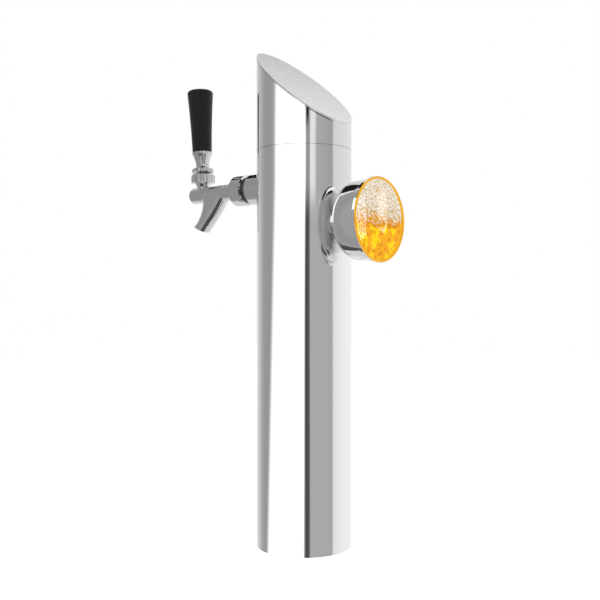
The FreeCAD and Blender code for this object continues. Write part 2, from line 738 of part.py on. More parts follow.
# coupling_nut: the round nut with spanner holes that draws the faucet onto the shank
coupling = turned("coupling_nut", [
    ("coupling_bore", "shank_front"),
    ("coupling_radius - coupling_back_chamfer", "shank_front"),
    ("coupling_radius", "shank_front + coupling_back_chamfer"),
    ("coupling_radius", "coupling_front - coupling_chamfer"),
    ("coupling_radius - coupling_chamfer", "coupling_front"),
    ("barrel_radius + hole_gap", "coupling_front"),
    ("barrel_radius + hole_gap", "coupling_floor"), ("coupling_bore", "coupling_floor"),
], AXIS, TO_FAUCET)
spanner = circles(sketch_on(coupling, "XZ", (0, 0, "coupling_radius")),
                  (0, "shank_front + spanner_hole_setback", "spanner_hole_radius"))
spanner_turn = Rotation(Vector(0, 0, 1), value("spanner_hole_turn"))
coupling.Placement = Placement(coupling.Placement.Base, TO_FAUCET * spanner_turn)
ring_of(coupling, pocket(coupling, spanner, "spanner_hole_depth"), "spanner_hole_count")

# faucet_gasket: the seal between the shank's head and the back of the faucet
washer("faucet_gasket", "valve_recess_radius", "shank_head_radius - faucet_gasket_setback",
       "shank_end", "faucet_back", AXIS, TO_FAUCET)

# faucet_body: one casting with a level barrel, a slanting spout and a flared neck for the ball
faucet = piece("faucet_body", AXIS)
collar = "shank_head_radius - collar_setback"
revolve(faucet, outline(sketch_on(faucet, "XY"), [
    (0, "faucet_back"), (collar, "faucet_back"),
    (collar, "coupling_floor - weld_gap"), ("barrel_radius", "coupling_floor - weld_gap"),
    ("barrel_radius", "barrel_nose - nose_chamfer", "left", "nose_curve"),
    ("barrel_radius - nose_chamfer", "barrel_nose"), (0, "barrel_nose"),
]))
# Rings of the spout from its root to its end: reach, drop, angle, half depth and half width.
SPOUT = [
    ("spout_root_reach", "-spout_root_drop", None, "spout_root_depth", "spout_root_width"),
    ("spout_shoulder_reach", "-spout_shoulder_drop", "spout_shoulder_angle",
     "spout_shoulder_depth", "spout_shoulder_width"),
    ("spout_bend_reach", "-spout_bend_drop", "spout_angle", "spout_bend_depth",
     "spout_bend_width"),
    ("spout_end_reach", "-spout_end_drop", "spout_face_angle", "spout_end_depth",
     "spout_end_width"),
]


def flat_sided(sketch, depth, width):
    """A slot shape round the sketch's origin, with flat sides and half-round front and rear."""
    run = f"({depth} - {width})"
    half_round = f"{ARC_SLACK} * {width}"
    return outline(sketch, [
        (width, f"-{run}"), (width, run, "left", half_round),
        (f"-{width}", run), (f"-{width}", f"-{run}", "left", half_round),
    ])


rings = [flat_sided(sketch_on(faucet, "XY", (0, reach, drop), angle), depth, width)
         for reach, drop, angle, depth, width in SPOUT]
spout = faucet.newObject("PartDesign::AdditiveLoft", "faucet_spout")
spout.Profile = rings[0]
spout.Sections = rings[1:]
doc.recompute()


def under_barrel(edge):
    """Whether the edge is where the spout leaves the underside of the barrel."""
    box = edge.BoundBox
    return box.ZMax < 0 and box.ZMin > value("-1.5 * barrel_radius")


seams = [f"Edge{i}" for i, edge in enumerate(spout.Shape.Edges, 1) if under_barrel(edge)]
blend = faucet.newObject("PartDesign::Fillet", "faucet_blend")
blend.Base = (spout, seams)
blend.Radius = value("spout_blend")
blend.setExpression("Radius", bound("spout_blend"))
doc.recompute()
NECK = (0, 0, "-neck_reach")
revolve(faucet, outline(sketch_on(faucet, "XZ", NECK), [
    (0, "pivot_rise - neck_flare_foot - neck_root"),
    ("neck_foot_radius", "pivot_rise - neck_flare_foot - neck_root"),
    ("neck_foot_radius", "pivot_rise - neck_flare_foot", "right", "neck_flare_curve"),
    ("neck_radius", "pivot_rise - neck_flare_top"),
    ("neck_radius", "pivot_rise + neck_top"), (0, "pivot_rise + neck_top"),
]))
groove(faucet, outline(sketch_on(faucet, "XY"), [
    (0, "faucet_back"), ("valve_recess_radius", "faucet_back"),
    ("valve_recess_radius", "seat_face"), ("guide_bore", "seat_face"),
    ("guide_bore", "guide_end"), (0, "guide_end"),
]))
groove(faucet, outline(sketch_on(faucet, "XZ", NECK), [
    (0, "pivot_rise - cup_radius", "left", "cup_radius"), ("cup_radius", "pivot_rise"),
    ("ball_washer_radius + thread_gap", "pivot_rise"),
    ("ball_washer_radius + thread_gap", "pivot_rise + neck_top"), (0, "pivot_rise + neck_top"),
]))
BELOW_MOUTH = (0, "spout_end_reach + spout_mouth_overrun * sin(spout_angle)",
               "-spout_end_drop - spout_mouth_overrun * cos(spout_angle)")
outlet = circles(sketch_on(faucet, "XY", BELOW_MOUTH, "spout_angle"), (0, 0, "spout_bore"))
pocket(faucet, outlet, "spout_bore_depth + spout_mouth_overrun", backwards=True)
throat = circles(sketch_on(faucet, "XY", BELOW_MOUTH, "spout_angle"), (0, 0, "spout_throat"))
pocket(faucet, throat, "spout_end_drop / cos(spout_angle)", backwards=True)
finger_gap = "finger_root_radius + swing_gap"
tip_gap = "finger_tip_radius + swing_gap"
back_top = "(ball_radius - window_back_lap)"
window = outline(sketch_on(faucet, "YZ"), [
    (f"neck_reach + {tip_gap}", "pivot_rise - (ball_radius - window_front_lap)"),
    (f"neck_reach - {back_top} * sin(full_tilt) - ({finger_gap}) * cos(full_tilt)",
     f"pivot_rise - {back_top} * cos(full_tilt) + ({finger_gap}) * sin(full_tilt)"),
    (f"neck_reach - pivot_rise * sin(full_tilt) - ({tip_gap}) * cos(full_tilt)",
     f"pivot_rise - pivot_rise * cos(full_tilt) + ({tip_gap}) * sin(full_tilt)"),
    (f"neck_reach - pivot_rise * sin(full_tilt) - ({tip_gap}) * cos(full_tilt)", 0),
    (f"neck_reach + {tip_gap}", 0),
])
pocket(faucet, window, f"2 * ({finger_gap})", both=True)

# faucet_shaft: the valve's rod, its head slotted for the lever's finger
shaft = turned("faucet_shaft", [
    (0, "shaft_start"), ("shaft_thread_radius", "shaft_start"),
    ("shaft_thread_radius", "seat_face"), ("shaft_rod_radius", "seat_face"),
    ("shaft_rod_radius", "shaft_head_start - shaft_head_cone"),
    ("shaft_head_radius", "shaft_head_start"),
    ("shaft_head_radius", "shaft_head_end - edge_chamfer"),
    ("shaft_head_radius - edge_chamfer", "shaft_head_end"), (0, "shaft_head_end"),
], AXIS, TO_FAUCET)
fork = "neck_reach - tip_rest"
slot = outline(sketch_on(shaft, "YZ"), [
    ("-1.1 * shaft_head_radius", f"{fork} - ({tip_gap})"),
    ("1.1 * shaft_head_radius", f"{fork} - ({tip_gap})"),
    ("1.1 * shaft_head_radius", f"{fork} + {tip_gap}"),
    (0, f"{fork} + {tip_gap}"),
    ("-1.1 * shaft_head_radius", f"{fork} + 1.1 * shaft_head_radius * tan(full_tilt) + finger_radius"),
])
pocket(shaft, slot, f"2 * ({tip_gap})", both=True)

# seat_washer and shaft_nut: the rubber that closes the valve and the nut that holds it
washer("seat_washer", "shaft_thread_radius + weld_gap", "valve_recess_radius - seat_washer_gap",
       "washer_face", "seat_face", AXIS, TO_FAUCET)
nut("shaft_nut", "shaft_nut_flats", "shaft_thread_radius + weld_gap", "shaft_start",
    "shaft_nut_thickness", AXIS, TO_FAUCET)

# ball_washer: the ring that keeps the ball down in its seat
PIVOT = (0, "neck_reach", "pivot_height")
turned("ball_washer", [
    ("sqrt(cup_radius ^ 2 - ball_washer_foot ^ 2)", "ball_washer_foot"),
    ("ball_washer_radius", "ball_washer_foot"), ("ball_washer_radius", "ball_washer_top"),
    ("sqrt(cup_radius ^ 2 - ball_washer_top ^ 2)", "ball_washer_top", "right", "cup_radius"),
], PIVOT)

# bonnet: the fluted cap nut over the ball, slotted so that the lever can tip
bonnet = turned("bonnet", [
    ("bonnet_bore", "bonnet_foot"), ("bonnet_radius - bonnet_chamfer", "bonnet_foot"),
    ("bonnet_radius", "bonnet_foot + bonnet_chamfer"),
    ("bonnet_radius", "bonnet_top - bonnet_chamfer"),
    ("bonnet_radius - bonnet_chamfer", "bonnet_top"),
    (0, "bonnet_top"), (0, "bonnet_dome", "right", "bonnet_dome"),
    ("sqrt(bonnet_dome ^ 2 - bonnet_ceiling ^ 2)", "bonnet_ceiling"),
    ("bonnet_bore", "bonnet_ceiling"),
], PIVOT)
round_end = f"{ARC_SLACK} * slot_half"
stem_slot = outline(sketch_on(bonnet, "XY", (0, 0, "bonnet_top")), [
    ("-slot_half", 0, "left", round_end), ("slot_half", 0),
    ("slot_half", "slot_far - slot_half", "left", round_end), ("-slot_half", "slot_far - slot_half"),
])
pocket(bonnet, stem_slot, "bonnet_top - bonnet_foot")
flutes(bonnet, "bonnet_radius", "bonnet_foot", "bonnet_top")

# ---- lever and handle, all on the lever's own tilted axis ----

LEAN = Rotation(Vector(1, 0, 0), -value("lever_rest_tilt"))

# lever: the finger that moves the shaft, the ball it turns on and the threaded stem
tip_centre = "-pivot_rise * cos(lever_rest_tilt)"
turned("lever", [
    (0, f"{tip_centre} - finger_tip_radius", "left", "finger_tip_radius"),
    ("finger_tip_radius", tip_centre, "left", "finger_tip_radius"),
    ("finger_radius", f"{tip_centre} + sqrt(finger_tip_radius ^ 2 - finger_radius ^ 2)"),
    ("finger_root_radius", "-sqrt(ball_radius ^ 2 - finger_root_radius ^ 2)", "left", "ball_radius"),
    ("ball_radius", 0, "left", "ball_radius"),
    ("stem_radius", "sqrt(ball_radius ^ 2 - stem_radius ^ 2)"),
    ("stem_radius", "stem_shoulder"), ("stem_thread_radius", "stem_shoulder"),
    ("stem_thread_radius", "stem_end - edge_chamfer"), ("stem_thread_radius - edge_chamfer", "stem_end"),
    (0, "stem_end"),
], PIVOT, LEAN)

# lever_collar: the fluted lock nut under the handle, hollow below to pass over the bonnet
lock_nut = turned("lever_collar", [
    ("stem_thread_radius + weld_gap", "stem_shoulder"),
    ("collar_cup_edge", "collar_cup_top", "right", "collar_cup_radius"),
    ("lever_collar_radius", "collar_rim"),
    ("lever_collar_radius", "collar_top - collar_bevel - edge_chamfer"),
    ("lever_collar_radius - edge_chamfer", "collar_top - collar_bevel"),
    ("ferrule_foot_radius + collar_land", "collar_top"),
    ("stem_thread_radius + weld_gap", "collar_top"),
], PIVOT, LEAN)
flutes(lock_nut, "lever_collar_radius", "collar_rim", "collar_top")

# handle_ferrule: the flared metal foot of the handle
turned("handle_ferrule", [
    ("stem_thread_radius + weld_gap", "collar_top"),
    ("ferrule_foot_radius", "collar_top", "right", "ferrule_foot_curve"),
    ("ferrule_waist_radius", "ferrule_waist_low"),
    ("ferrule_waist_radius", "ferrule_waist_high", "right", "ferrule_flare_curve"),
    ("ferrule_band_radius - ferrule_shoulder_width", "ferrule_flare"),
    ("ferrule_band_radius", "ferrule_band"),
    ("ferrule_band_radius", "handle_foot"), ("stem_thread_radius + weld_gap", "handle_foot"),
], PIVOT, LEAN)

# handle: the black tapered grip with a low crown
crown_curve = "(handle_crown_radius ^ 2 + handle_crown_rise ^ 2) / (2 * handle_crown_rise)"
turned("handle", [
    ("insert_radius", "handle_foot + weld_gap"),
    ("handle_foot_radius", "handle_foot + weld_gap", "right", "handle_bulge"),
    ("handle_top_radius", "handle_crown - handle_edge", "left", "handle_edge"),
    ("handle_top_radius - handle_edge", "handle_crown"),
    ("handle_crown_radius", "handle_crown", "left", crown_curve),
    (0, "handle_top"), (0, "stem_end + insert_room"), ("insert_radius", "stem_end + insert_room"),
], PIVOT, LEAN)

# handle_insert: the brass thread moulded into the handle
washer("handle_insert", "stem_thread_radius + weld_gap", "insert_radius - weld_gap",
       "handle_foot + weld_gap", "handle_foot + insert_length", PIVOT, LEAN)

# ---- badge: a lit drum on a hollow neck ----

BADGE = (0, 0, "badge_height")
neck_bore = "badge_neck_radius + thread_gap"

# badge_neck: the hollow bolt through the drum's back and the column, with its wire inside
turned("badge_neck", [
    ("badge_neck_bore", "badge_neck_start"), ("badge_neck_radius", "badge_neck_start"),
    ("badge_neck_radius", "drum_floor"), ("badge_neck_head", "drum_floor"),
    ("badge_neck_head", "drum_floor + badge_neck_head_thickness"),
    ("badge_neck_bore", "drum_floor + badge_neck_head_thickness"),
], BADGE, TO_BADGE)

# badge_spacer: the short round foot between the column and the drum
spacer = washer("badge_spacer", neck_bore, "badge_spacer_radius", "column_radius / 2",
                "drum_back", BADGE, TO_BADGE)
saddle_outside(spacer)

# badge_washer and badge_nut: what clamps the neck inside the column
badge_washer = washer("badge_washer", neck_bore, "badge_washer_radius", "badge_nut_front",
                      "column_radius", BADGE, TO_BADGE)
saddle_inside(badge_washer)
nut("badge_nut", "badge_nut_flats", neck_bore, "badge_nut_reach", "badge_nut_thickness",
    BADGE, TO_BADGE)

# badge_drum: the polished cup that holds the lamp
inner_edge = "drum_edge - drum_wall"
turned("badge_drum", [
    (neck_bore, "drum_back"),
    ("drum_back_radius - drum_edge", "drum_back", "left", "drum_edge"),
    ("drum_back_radius", "drum_back + drum_edge", "left", "drum_bulge"),
    ("drum_front_radius", "drum_front"),
    ("drum_front_radius - drum_wall", "drum_front"),
    ("drum_front_radius - drum_wall", "drum_front - bezel_spigot_depth - drum_seat_run"),
    ("drum_back_radius - drum_wall", "drum_back + drum_edge", "right", inner_edge),
    ("drum_back_radius - drum_edge", "drum_floor"), (neck_bore, "drum_floor"),
], BADGE, TO_BADGE)

# badge_bezel: the bright rim pressed into the drum, which frames the face
turned("badge_bezel", [
    ("face_radius + weld_gap", "bezel_floor"), ("face_radius + weld_gap", "bezel_face"),
    ("bezel_radius - bezel_edge", "bezel_face"), ("bezel_radius", "bezel_face - bezel_edge"),
    ("bezel_radius", "bezel_back + bezel_rim_rise", "left", "bezel_rim_curve"),
    ("drum_front_radius", "bezel_back"), ("bezel_spigot", "bezel_back"),
    ("bezel_spigot", "bezel_back - bezel_spigot_depth"),
    ("bezel_bore", "bezel_back - bezel_spigot_depth"), ("bezel_bore", "bezel_floor"),
], BADGE, TO_BADGE)

# badge_print: the translucent disc that carries the picture
turned("badge_print", [
    (0, "bezel_floor"), ("face_radius", "bezel_floor"), ("face_radius", "print_face"),
    (0, "print_face"),
], BADGE, TO_BADGE)

# light_ring: the amber bead round the picture, half-round where it stands out of the bezel
turned("light_ring", [
    ("lens_radius + weld_gap", "print_face"), ("face_radius", "print_face"),
    ("face_radius", "bead_foot", "left", "bead_curve"), ("lens_radius + weld_gap", "bead_foot"),
], BADGE, TO_BADGE)

# badge_lens: the clear, slightly domed window over the picture
lens_curve = "(lens_radius ^ 2 + lens_dome ^ 2) / (2 * lens_dome)"
turned("badge_lens", [
    (0, "print_face"), ("lens_radius", "print_face"),
    ("lens_radius", "lens_face", "left", lens_curve), (0, "lens_face + lens_dome"),
], BADGE, TO_BADGE)

# light_spacer: the white cone that throws the lamps' light onto the picture
cone_end = "bezel_back - bezel_spigot_depth - weld_gap"
turned("light_spacer", [
    ("board_radius", "board_front"), ("board_radius + spacer_wall", "board_front"),
    ("bezel_spigot - spacer_gap", cone_end), ("bezel_spigot - spacer_gap - spacer_wall", cone_end),
], BADGE, TO_BADGE)

# led_board: the round circuit board, with a hole for the wire
board = washer("led_board", "badge_neck_bore", "board_radius + spacer_wall", "board_reach",
               "board_front", BADGE, TO_BADGE)
hole = circles(sketch_on(board, "XY", (0, 0, "board_front")),
               (0, "standoff_circle", "board_screw_radius + thread_gap"))
ring_of(board, pocket(board, hole, "board_thickness"), "standoff_count")


def ring_of_solids(name, count, build):
    """A group of equal solids round the badge's axis. The builder gets each one's angle."""
    solids = [build(360 * i / int(value(count))) for i in range(int(value(count)))]
    group = doc.addObject("Part::Feature", name)
    group.Label = name
    group.Shape = Part.makeCompound(solids)
    group.Placement = Placement(Vector(0, 0, value("badge_height")), TO_BADGE)
    PIECES.append(group)


def round_bar(angle, circle, radius, low, high):
    """A round bar parallel to the badge's axis, its centre on the given circle."""
    centre = Rotation(Vector(0, 0, 1), angle).multVec(Vector(0, circle, low))
    return Part.makeCylinder(radius, high - low, centre)


def standoff(angle):
    """One tapped pillar between the drum's floor and the board."""
    circle = value("standoff_circle")
    low, high = value("drum_floor"), value("board_reach")
    pillar = round_bar(angle, circle, value("standoff_radius"), low, high)
    return pillar.cut(round_bar(angle, circle, value("board_screw_radius + weld_gap"),
                                high - value("board_screw_depth"), high))


def board_screw(angle):
    """One cheese-head screw through the board into its pillar."""
    circle, face = value("standoff_circle"), value("board_front")
    foot = value("board_reach - board_screw_depth + weld_gap")
    shank = round_bar(angle, circle, value("board_screw_radius"), foot, face)
    head = round_bar(angle, circle, value("board_screw_head"), face,
                     face + value("board_screw_head_height"))
    return shank.fuse(head)


def lamp(angle):
    """One surface-mounted lamp."""
    side = value("led_size")
    corner = Vector(-side / 2, value("led_circle") - side / 2, value("board_front"))
    chip = Part.makeBox(side, side, value("led_height"), corner)
    chip.rotate(Vector(), Vector(0, 0, 1), angle)
    return chip


ring_of_solids("board_standoffs", "standoff_count", standoff)
ring_of_solids("board_screws", "standoff_count", board_screw)
ring_of_solids("lamps", "led_count", lamp)

# ---- check and write ----

doc.recompute()
failed = [o.Name for o in doc.Objects if {"Invalid", "Error"} & set(o.State)]
failed += [p.Label for p in PIECES if p.Shape.isNull() or not p.Shape.isValid()]
if failed:
    raise ValueError(f"failed: {failed}")
os.makedirs("parts", exist_ok=True)
for item in PIECES:
    item.Shape.exportStep(f"parts/{item.Label}.step")
    print(f"{item.Label}: {len(item.Shape.Solids)} solids, {item.Shape.Volume:.0f} mm3")
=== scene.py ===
"""A beer tower in a pale studio: polished column, chromed faucet and a lit badge.

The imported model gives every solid. Each section below gives one piece, or a group of
like pieces, its finish and the small details that belong to it.
"""
import math

import bpy
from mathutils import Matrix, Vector


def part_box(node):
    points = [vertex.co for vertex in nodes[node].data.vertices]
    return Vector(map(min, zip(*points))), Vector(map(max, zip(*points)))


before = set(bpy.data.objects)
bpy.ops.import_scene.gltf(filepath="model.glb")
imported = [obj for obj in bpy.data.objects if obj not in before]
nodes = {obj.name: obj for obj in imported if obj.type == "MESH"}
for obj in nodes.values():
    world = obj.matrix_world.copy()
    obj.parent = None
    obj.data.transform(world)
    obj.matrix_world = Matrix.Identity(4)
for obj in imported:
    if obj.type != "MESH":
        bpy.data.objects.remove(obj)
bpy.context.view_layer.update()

bpy.ops.object.select_all(action="DESELECT")

# ---- camera ----
# A level camera at half the tower's height, a long step away, that sees the faucet on the left
# and the badge on the right.
EYE_DISTANCE = 0.9388
EYE_HEIGHT = 0.2613
EYE_AZIMUTH = math.radians(-140.0)
AIM_TURN = math.radians(0.262)
FILM_WIDTH_MM = 36.0
LENS_MM = 52.5
LENS_RISE = 0.00083
eye = bpy.data.cameras.new("eye")
eye.sensor_width = FILM_WIDTH_MM
eye.lens = LENS_MM
eye.shift_y = LENS_RISE
camera = bpy.data.objects.new("eye", eye)
camera.location = (EYE_DISTANCE * math.cos(EYE_AZIMUTH), EYE_DISTANCE * math.sin(EYE_AZIMUTH),
                   EYE_HEIGHT)
camera.rotation_euler = (math.pi / 2, 0, EYE_AZIMUTH + math.pi / 2 + AIM_TURN)
bpy.context.scene.collection.objects.link(camera)
bpy.context.scene.camera = camera
bpy.context.scene.view_settings.view_transform = "Standard"

# ---- studio: pale and grey panels all round, and a pale floor ----
# The panels stand in a ring and are seen only in the metal: the camera itself sees plain white.
# Bearings are in degrees from the camera's side of the column, turning to the camera's right, and
# the rise of a look is 1 straight up and -1 straight down.
# Where each panel begins or ends: a bearing, and how pale it is there.
LOWER_PANELS = [
    (-180, 0.95), (-165, 0.88), (-150, 0.75), (-139, 0.62), (-127, 0.48), (-118, 0.38),
    (-109, 0.33), (-88, 0.32), (-78, 0.37), (-22, 0.37), (-19, 0.62), (-1, 0.62), (3, 0.10),
    (6, 0.06), (12, 0.10), (15.5, 0.43), (71.5, 0.41), (74, 0.78), (110, 0.90), (180, 0.95),
]
UPPER_PANELS = [
    (-180, 0.85), (-165, 0.75), (-150, 0.65), (-139, 0.52), (-127, 0.46), (-118, 0.38),
    (-109, 0.325), (-88, 0.32), (-78, 0.37), (-22, 0.37), (-19, 0.62), (1, 0.62), (6.5, 0.30),
    (12.5, 0.32), (16, 0.84), (25.5, 0.78), (30, 0.42), (72, 0.36), (75, 0.68), (110, 0.74),
    (180, 0.85),
]
UPPER_PANELS_FROM = (0.09, 0.14)
ZENITH = 1.05
ZENITH_FROM = (0.84, 0.92)
PALE_TABLE = 0.74
BLACK_CARD = 0.012
DARK_CARD = 0.08
# The left edge of the hung card: a rise, and its bearing there.
HUNG_CARD_EDGE = [(0.30, -166), (0.50, -164), (0.62, -157), (0.68, -149), (0.74, -138), (0.80, -131)]
# How wide a card's blurred edge is, as a share of the turn, and how many times that in rise.
CARD_BLUR = 0.004
BLUR_IN_RISE = 5
WHITE = (1, 1, 1)
world = bpy.data.worlds.new("studio")
bpy.context.scene.world = world
world.use_nodes = True
sky = world.node_tree
sky.nodes.clear()


def feed(tree, node, inputs):
    """Sets or links the node's inputs, each by its name or number."""
    for name, source in inputs.items():
        socket = node.inputs[name]
        if isinstance(source, bpy.types.NodeSocket):
            tree.links.new(source, socket)
        elif socket.type == "RGBA":
            socket.default_value = (*source, 1)
        else:
            socket.default_value = source


def add(tree, kind, inputs=None, **settings):
    """A new shader node with its settings and inputs."""
    made = tree.nodes.new(kind)
    for name, setting in settings.items():
        setattr(made, name, setting)
    feed(tree, made, inputs or {})
    return made


def math_of(tree, operation, *sources):
    """One step of arithmetic on sockets and numbers."""
    return add(tree, "ShaderNodeMath", dict(enumerate(sources)), operation=operation).outputs[0]


def product(tree, one, other):
    return math_of(tree, "MULTIPLY", one, other)


def split(tree, place):
    """The X, Y and Z of a place, by name."""
    return add(tree, "ShaderNodeSeparateXYZ", {0: place}).outputs


def ramp(tree, factor, stops):
    """A colour ramp over the factor, each stop a position and a colour."""
    made = add(tree, "ShaderNodeValToRGB", {"Fac": factor})
    spots = made.color_ramp.elements
    while len(spots) < len(stops):
        spots.new(1.0)
    for spot, (position, colour) in zip(spots, stops):
        spot.position = position
        spot.color = (*colour, 1)
    return made.outputs["Color"]


def grey(level):
    return (level, level, level)


def step_up(tree, source, dark, full, smooth=True):
    """0 where the source is at dark or beyond it, and 1 where it is at full or beyond it."""
    return add(tree, "ShaderNodeMapRange", {"Value": source, "From Min": dark, "From Max": full},
               interpolation_type="SMOOTHSTEP" if smooth else "LINEAR").outputs[0]


def between(tree, source, foot, head):
    """1 between two edges, each a pair: where the share is 0, and where it is 1."""
    return product(tree, step_up(tree, source, *foot), step_up(tree, source, *head))


def blend_of(tree, share, below, above):
    """The first colour where the share is 0 and the second where it is 1."""
    return add(tree, "ShaderNodeMix", {"Factor": share, 6: below, 7: above},
               data_type="RGBA").outputs[2]


def turn_share(tree, parts):
    """The angle of a place round the column, as a share of the turn from -180 to 180 degrees."""
    angle = math_of(tree, "ARCTAN2", parts["Y"], parts["X"])
    return add(tree, "ShaderNodeMapRange", {"Value": angle, "From Min": -math.pi,
                                            "From Max": math.pi}).outputs[0]


def bearing_of(tree, direction):
    """The bearing of a direction, as a share of the turn from -180 to 180 degrees, and its Z."""
    turned = add(tree, "ShaderNodeVectorRotate", {"Vector": direction, "Angle": -EYE_AZIMUTH},
                 rotation_type="Z_AXIS").outputs[0]
    parts = split(tree, turned)
    return turn_share(tree, parts), parts["Z"]


def share_at(degrees):
    return (degrees + 180) / 360


def ring_of_panels(panels):
    return ramp(sky, bearing, [(share_at(degrees), grey(level)) for degrees, level in panels])


def table_patch(bearings, rises):
    """1 where the pale table shows, past an edge in bearing and an edge in rise."""
    return product(sky, step_up(sky, bearing, *map(share_at, bearings)), step_up(sky, rise, *rises))


def card(west, east, foot, head, blur=CARD_BLUR):
    """1 inside a card that spans two bearings and two rises, with blurred edges."""
    sides = between(sky, bearing, (share_at(west), share_at(west) + blur),
                    (share_at(east) + blur, share_at(east)))
    rise_blur = blur * BLUR_IN_RISE
    ends = between(sky, rise, (foot, foot + rise_blur), (head, head - rise_blur))
    return product(sky, sides, ends)


look = add(sky, "ShaderNodeTexCoord").outputs["Generated"]
bearing, rise = bearing_of(sky, look)
walls = blend_of(sky, step_up(sky, rise, *UPPER_PANELS_FROM), ring_of_panels(LOWER_PANELS),
                 ring_of_panels(UPPER_PANELS))
walls = blend_of(sky, step_up(sky, rise, *ZENITH_FROM), walls, grey(ZENITH))
# Below, the pale table shows behind the tower and to its right, and grey flooring to its left.
behind = table_patch((-124, -130), (-0.28, -0.36))
right = table_patch((-24, -18), (-0.62, -0.70))
underneath = step_up(sky, rise, -0.88, -0.93)
table = math_of(sky, "MAXIMUM", math_of(sky, "MAXIMUM", behind, right), underneath)
walls = blend_of(sky, table, walls, grey(PALE_TABLE))
# A black card hangs behind on the left: its left side leans, so it is wider the higher it is.
leaning = ramp(sky, rise, [(height, grey(share_at(edge))) for height, edge in HUNG_CARD_EDGE])
past_edge = math_of(sky, "SUBTRACT", leaning, bearing)
hung = product(sky, step_up(sky, past_edge, 0, CARD_BLUR), card(-172, 0, foot=0.33, head=0.90))
on_table = card(-157, -147, foot=-0.87, head=-0.72, blur=0.006)
overhead = card(-62, 76, foot=0.62, head=0.965, blur=0.01)
beside_column = card(4, 9.5, foot=0.19, head=0.34)
for black in (hung, on_table, overhead, beside_column):
    walls = blend_of(sky, black, walls, grey(BLACK_CARD))
in_front = card(-62, 12, foot=-0.96, head=-0.47, blur=0.012)
walls = blend_of(sky, in_front, walls, grey(DARK_CARD))
lit = add(sky, "ShaderNodeBackground", {"Color": walls, "Strength": 1.0})
plain = add(sky, "ShaderNodeBackground", {"Color": WHITE, "Strength": 1.0})
seen = add(sky, "ShaderNodeLightPath").outputs["Is Camera Ray"]
mixed = add(sky, "ShaderNodeMixShader", {0: seen, 1: lit.outputs[0], 2: plain.outputs[0]})
add(sky, "ShaderNodeOutputWorld", {"Surface": mixed.outputs[0]})

# The floor is white paper with a little light of its own, just under the column's foot.
FLOOR_SIDE = 6.0
FLOOR_DROP = 0.0004
PAPER = grey(0.9)
PAPER_GLOW = 0.72
bpy.ops.mesh.primitive_plane_add(size=FLOOR_SIDE, location=(0, 0, -FLOOR_DROP))
floor = bpy.context.object
floor.name = "studio_floor"
floor.visible_glossy = False
paper = bpy.data.materials.new("white_paper")
paper.use_nodes = True
feed(paper.node_tree, paper.node_tree.nodes["Principled BSDF"], {
    "Base Color": PAPER, "Roughness": 0.9,
    "Emission Color": WHITE, "Emission Strength": PAPER_GLOW,
})
floor.data.materials.append(paper)

# A soft box on the left front lights the dull pieces.
SOFT_BOX = (-0.9, 0.5, 1.1)
SOFT_BOX_AIM = (0, 0, 0.3)
SOFT_BOX_WIDTH = 0.5
SOFT_BOX_HEIGHT = 0.9
SOFT_BOX_WATTS = 9.0
bpy.ops.object.light_add(type="AREA", location=SOFT_BOX)
soft_box = bpy.context.object
soft_box.data.shape = "RECTANGLE"
soft_box.data.size = SOFT_BOX_WIDTH
soft_box.data.size_y = SOFT_BOX_HEIGHT
soft_box.data.energy = SOFT_BOX_WATTS
soft_box_aim = Vector(SOFT_BOX_AIM) - soft_box.location
soft_box.rotation_euler = soft_box_aim.to_track_quat("-Z", "Y").to_euler()
soft_box.visible_glossy = False

# ---- column: mirror-polished stainless tube ----
# One drawn tube, cut square at its foot and buffed to a mirror. It keeps a faint ripple from the
# rolling and hair-fine marks from the buffing wheel. A broad light fills its middle with white.
MIRROR_STEEL = (0.93, 0.93, 0.935)
NOISE_MIDDLE = (0.3, 0.7)


def new_finish(name, inputs):
    """A new material, its node tree, its shader with these inputs, and its object coordinates."""
    material = bpy.data.materials.new(name)
    material.use_nodes = True
    tree = material.node_tree
    shader = tree.nodes["Principled BSDF"]
    feed(tree, shader, inputs)
    return material, tree, shader, add(tree, "ShaderNodeTexCoord").outputs["Object"]


def noise(tree, place, scale, stretch=(1, 1, 1), detail=2.0):
    """Noise with features 1/scale metres wide, drawn out by the stretch of its coordinates."""
    drawn = add(tree, "ShaderNodeMapping", {"Vector": place, "Scale": stretch}).outputs[0]
    return add(tree, "ShaderNodeTexNoise", {"Vector": drawn, "Scale": scale,
                                            "Detail": detail}).outputs["Fac"]


def spread(tree, factor, low, high):
    """The middle part of a noise, spread over low to high."""
    start, end = NOISE_MIDDLE
    return add(tree, "ShaderNodeMapRange", {"Value": factor, "From Min": start, "From Max": end,
                                            "To Min": low, "To Max": high}).outputs[0]


def bump(tree, height, distance, strength=1.0):
    """The normal of a surface raised by the height, in metres at full strength."""
    return add(tree, "ShaderNodeBump", {"Height": height, "Distance": distance,
                                        "Strength": strength}).outputs[0]


def dress(material, *names):
    for name in names:
        for slot in nodes[name].material_slots:
            slot.material = material


def mirror_steel(name):
    """Buffed stainless tube, with a slow ripple and fine marks along its length."""
    made = new_finish(name, {"Base Color": MIRROR_STEEL, "Metallic": 1.0})
    tree, shader, place = made[1:]
    buffing = noise(tree, place, 900.0, stretch=(1, 1, 0.04))
    ripple = noise(tree, place, 9.0, stretch=(1, 1, 0.25), detail=1.0)
    feed(tree, shader, {
        "Roughness": spread(tree, buffing, 0.015, 0.045),
        "Normal": bump(tree, ripple, distance=0.0006),
    })
    return made


RING_LIGHT_SIDES = 180
ONE_BOUNCE = 1.5
TWO_BOUNCES_OVER = 2


